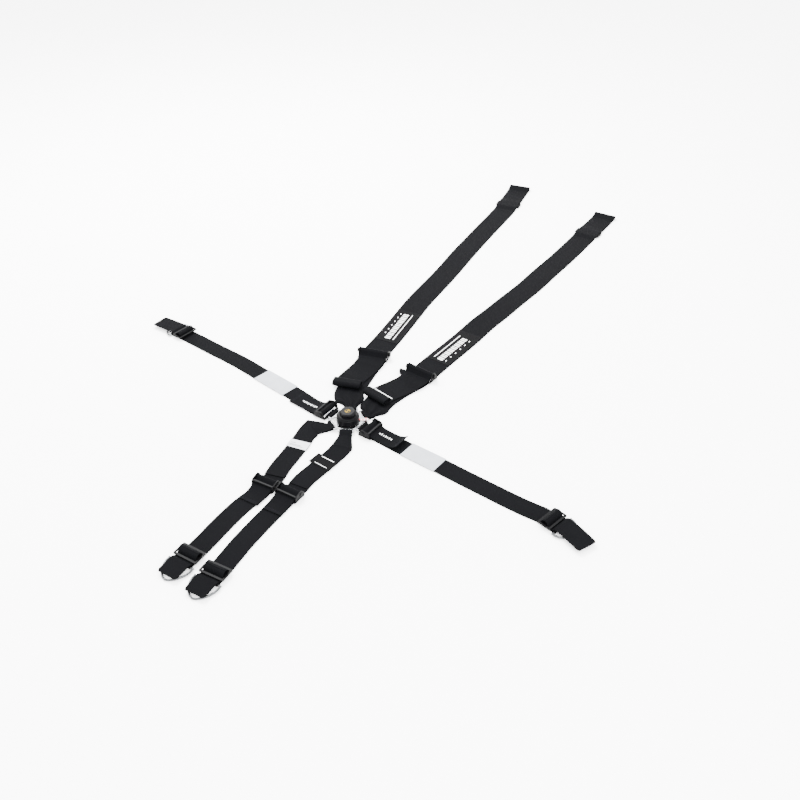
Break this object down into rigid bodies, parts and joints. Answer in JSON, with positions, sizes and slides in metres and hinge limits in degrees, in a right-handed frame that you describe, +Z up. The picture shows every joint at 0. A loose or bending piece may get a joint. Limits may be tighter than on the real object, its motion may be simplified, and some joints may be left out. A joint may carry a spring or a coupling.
{
  "type": "racing harness",
  "caption": "Racing harness laid flat: rotary release buckle, tongues, shoulder, lap and crotch webbing belts, tilting adjusters, slides and swinging anchor rings.",
  "frame": {"origin": "middle of the buckle's flat back face, which lies on the surface", "axes": "+Z up out of the surface the harness lies on, +Y along the shoulder belts, +X along the right lap belt"},
  "size_m": [1.398, 2.1296, 0.0348],
  "materials": {
    "webbing": "woven, matte",
    "black_steel": "black, satin",
    "bright_steel": "polished",
    "black_plastic": "satin",
    "emblem": "printed gold",
    "tag_ribbon": "smooth ribbon, printed"
  },
  "bodies": {
    "buckle": {"buckle_back_plate": "black_steel", "buckle_housing": "black_plastic", "latch_spring": "bright_steel", "centre_bolt": "bright_steel", "care_tag": "tag_ribbon", "lap_left_tongue": "bright_steel", "lap_left_link": "webbing", "lap_left_tail": "webbing", "lap_left_strap": "webbing", "lap_left_slide": "black_steel"},
    "knob": {"release_knob": "black_plastic", "knob_emblem": "emblem"},
    "latch": {"latch_plate": "bright_steel"},
    "shoulder_left_belt": {"shoulder_left_tongue": "bright_steel", "shoulder_left_lower_strap": "webbing", "shoulder_left_tail": "webbing", "shoulder_left_strap": "webbing", "shoulder_left_slide": "black_steel"},
    "shoulder_right_belt": {"shoulder_right_tongue": "bright_steel", "shoulder_right_lower_strap": "webbing", "shoulder_right_tail": "webbing", "shoulder_right_strap": "webbing", "shoulder_right_slide": "black_steel"},
    "lap_right_belt": {"lap_right_tongue": "bright_steel", "lap_right_link": "webbing", "lap_right_tail": "webbing", "lap_right_strap": "webbing", "lap_right_slide": "black_steel"},
    "sub_left_belt": {"sub_left_tongue": "bright_steel", "sub_left_upper_strap": "webbing", "sub_left_tail": "webbing", "sub_left_strap": "webbing", "sub_left_slide": "black_steel"},
    "sub_right_belt": {"sub_right_tongue": "bright_steel", "sub_right_upper_strap": "webbing", "sub_right_tail": "webbing", "sub_right_strap": "webbing", "sub_right_slide": "black_steel"},
    "shoulder_left_adjuster": {"shoulder_left_adjuster_frame": "black_steel", "shoulder_left_lock_bar": "black_steel", "shoulder_left_strap_turn": "webbing"},
    "shoulder_right_adjuster": {"shoulder_right_adjuster_frame": "black_steel", "shoulder_right_lock_bar": "black_steel", "shoulder_right_strap_turn": "webbing"},
    "lap_left_adjuster": {"lap_left_adjuster_frame": "black_steel", "lap_left_lock_bar": "black_steel", "lap_left_strap_turn": "webbing"},
    "lap_right_adjuster": {"lap_right_adjuster_frame": "black_steel", "lap_right_lock_bar": "black_steel", "lap_right_strap_turn": "webbing"},
    "sub_left_adjuster": {"sub_left_adjuster_frame": "black_steel", "sub_left_lock_bar": "black_steel", "sub_left_strap_turn": "webbing"},
    "sub_right_adjuster": {"sub_right_adjuster_frame": "black_steel", "sub_right_lock_bar": "black_steel", "sub_right_strap_turn": "webbing"},
    "lap_left_ring": {"lap_left_anchor_ring": "bright_steel"},
    "lap_right_ring": {"lap_right_anchor_ring": "bright_steel"},
    "sub_left_ring": {"sub_left_anchor_ring": "bright_steel"},
    "sub_right_ring": {"sub_right_anchor_ring": "bright_steel"}
  },
  "joints": [
    {"name": "knob_turn", "type": "hinge", "parent": "buckle", "child": "knob", "pos_m": [0, 0, 0], "axis": [0, 0, 1], "range_deg": [0, 45], "stiffness_Nm_per_rad": 0.05},
    {"name": "latch_drop", "type": "slide", "parent": "buckle", "child": "latch", "axis": [0, 0, -1], "range_m": [0, 0.003], "deforming": ["latch_spring"]},
    {"name": "shoulder_left_release", "type": "slide", "parent": "buckle", "child": "shoulder_left_belt", "axis": [-0.5, 0.866, 0], "range_m": [0, 0.03]},
    {"name": "shoulder_right_release", "type": "slide", "parent": "buckle", "child": "shoulder_right_belt", "axis": [0.5, 0.866, 0], "range_m": [0, 0.03]},
    {"name": "lap_right_release", "type": "slide", "parent": "buckle", "child": "lap_right_belt", "axis": [1, 0, 0], "range_m": [0, 0.03]},
    {"name": "sub_left_release", "type": "slide", "parent": "buckle", "child": "sub_left_belt", "axis": [-0.5, -0.866, 0], "range_m": [0, 0.03]},
    {"name": "sub_right_release", "type": "slide", "parent": "buckle", "child": "sub_right_belt", "axis": [0.5, -0.866, 0], "range_m": [0, 0.03]},
    {"name": "shoulder_left_tilt", "type": "hinge", "parent": "shoulder_left_belt", "child": "shoulder_left_adjuster", "pos_m": [-0.10732, 0.2527, 0.00345], "axis": [0.9563, 0.2924, 0], "range_deg": [0, 25], "deforming": ["shoulder_left_lower_strap"]},
    {"name": "shoulder_right_tilt", "type": "hinge", "parent": "shoulder_right_belt", "child": "shoulder_right_adjuster", "pos_m": [0.04116, 0.24802, 0.00345], "axis": [0.9986, -0.0523, 0], "range_deg": [0, 25], "deforming": ["shoulder_right_lower_strap"]},
    {"name": "lap_left_tilt", "type": "hinge", "parent": "buckle", "child": "lap_left_adjuster", "pos_m": [-0.053, 0, 0.00345], "axis": [0, 1, 0], "range_deg": [0, 25], "deforming": ["lap_left_link"]},
    {"name": "lap_right_tilt", "type": "hinge", "parent": "lap_right_belt", "child": "lap_right_adjuster", "pos_m": [0.053, 0, 0.00345], "axis": [0, -1, 0], "range_deg": [0, 25], "deforming": ["lap_right_link"]},
    {"name": "sub_left_tilt", "type": "hinge", "parent": "sub_left_belt", "child": "sub_left_adjuster", "pos_m": [-0.01639, -0.27006, 0.00345], "axis": [-0.9962, -0.0872, 0], "range_deg": [0, 25], "deforming": ["sub_left_upper_strap"]},
    {"name": "sub_right_tilt", "type": "hinge", "parent": "sub_right_belt", "child": "sub_right_adjuster", "pos_m": [0.04844, -0.26501, 0.00345], "axis": [-0.9994, -0.0349, 0], "range_deg": [0, 25], "deforming": ["sub_right_upper_strap"]},
    {"name": "lap_left_ring_swing", "type": "hinge", "parent": "buckle", "child": "lap_left_ring", "pos_m": [-0.64796, 0.06236, 0.00495], "axis": [0.0523, 0.9986, 0], "range_deg": [0, 50], "deforming": ["lap_left_strap"]},
    {"name": "lap_right_ring_swing", "type": "hinge", "parent": "lap_right_belt", "child": "lap_right_ring", "pos_m": [0.59143, -0.03641, 0.00495], "axis": [-0.2079, -0.9781, 0], "range_deg": [0, 50], "deforming": ["lap_right_strap"]},
    {"name": "sub_left_ring_swing", "type": "hinge", "parent": "sub_left_belt", "child": "sub_left_ring", "pos_m": [-0.00164, -0.55996, 0.00495], "axis": [-0.9986, -0.0523, 0], "range_deg": [0, 50], "deforming": ["sub_left_strap"]},
    {"name": "sub_right_ring_swing", "type": "hinge", "parent": "sub_right_belt", "child": "sub_right_ring", "pos_m": [0.07572, -0.56386, 0.00495], "axis": [-0.9945, -0.1045, 0], "range_deg": [0, 50], "deforming": ["sub_right_strap"]}
  ],
  "couplings": [
    {"joint": "latch_drop", "follows": "knob_turn", "m_per_rad": 0.003819}
  ]
}
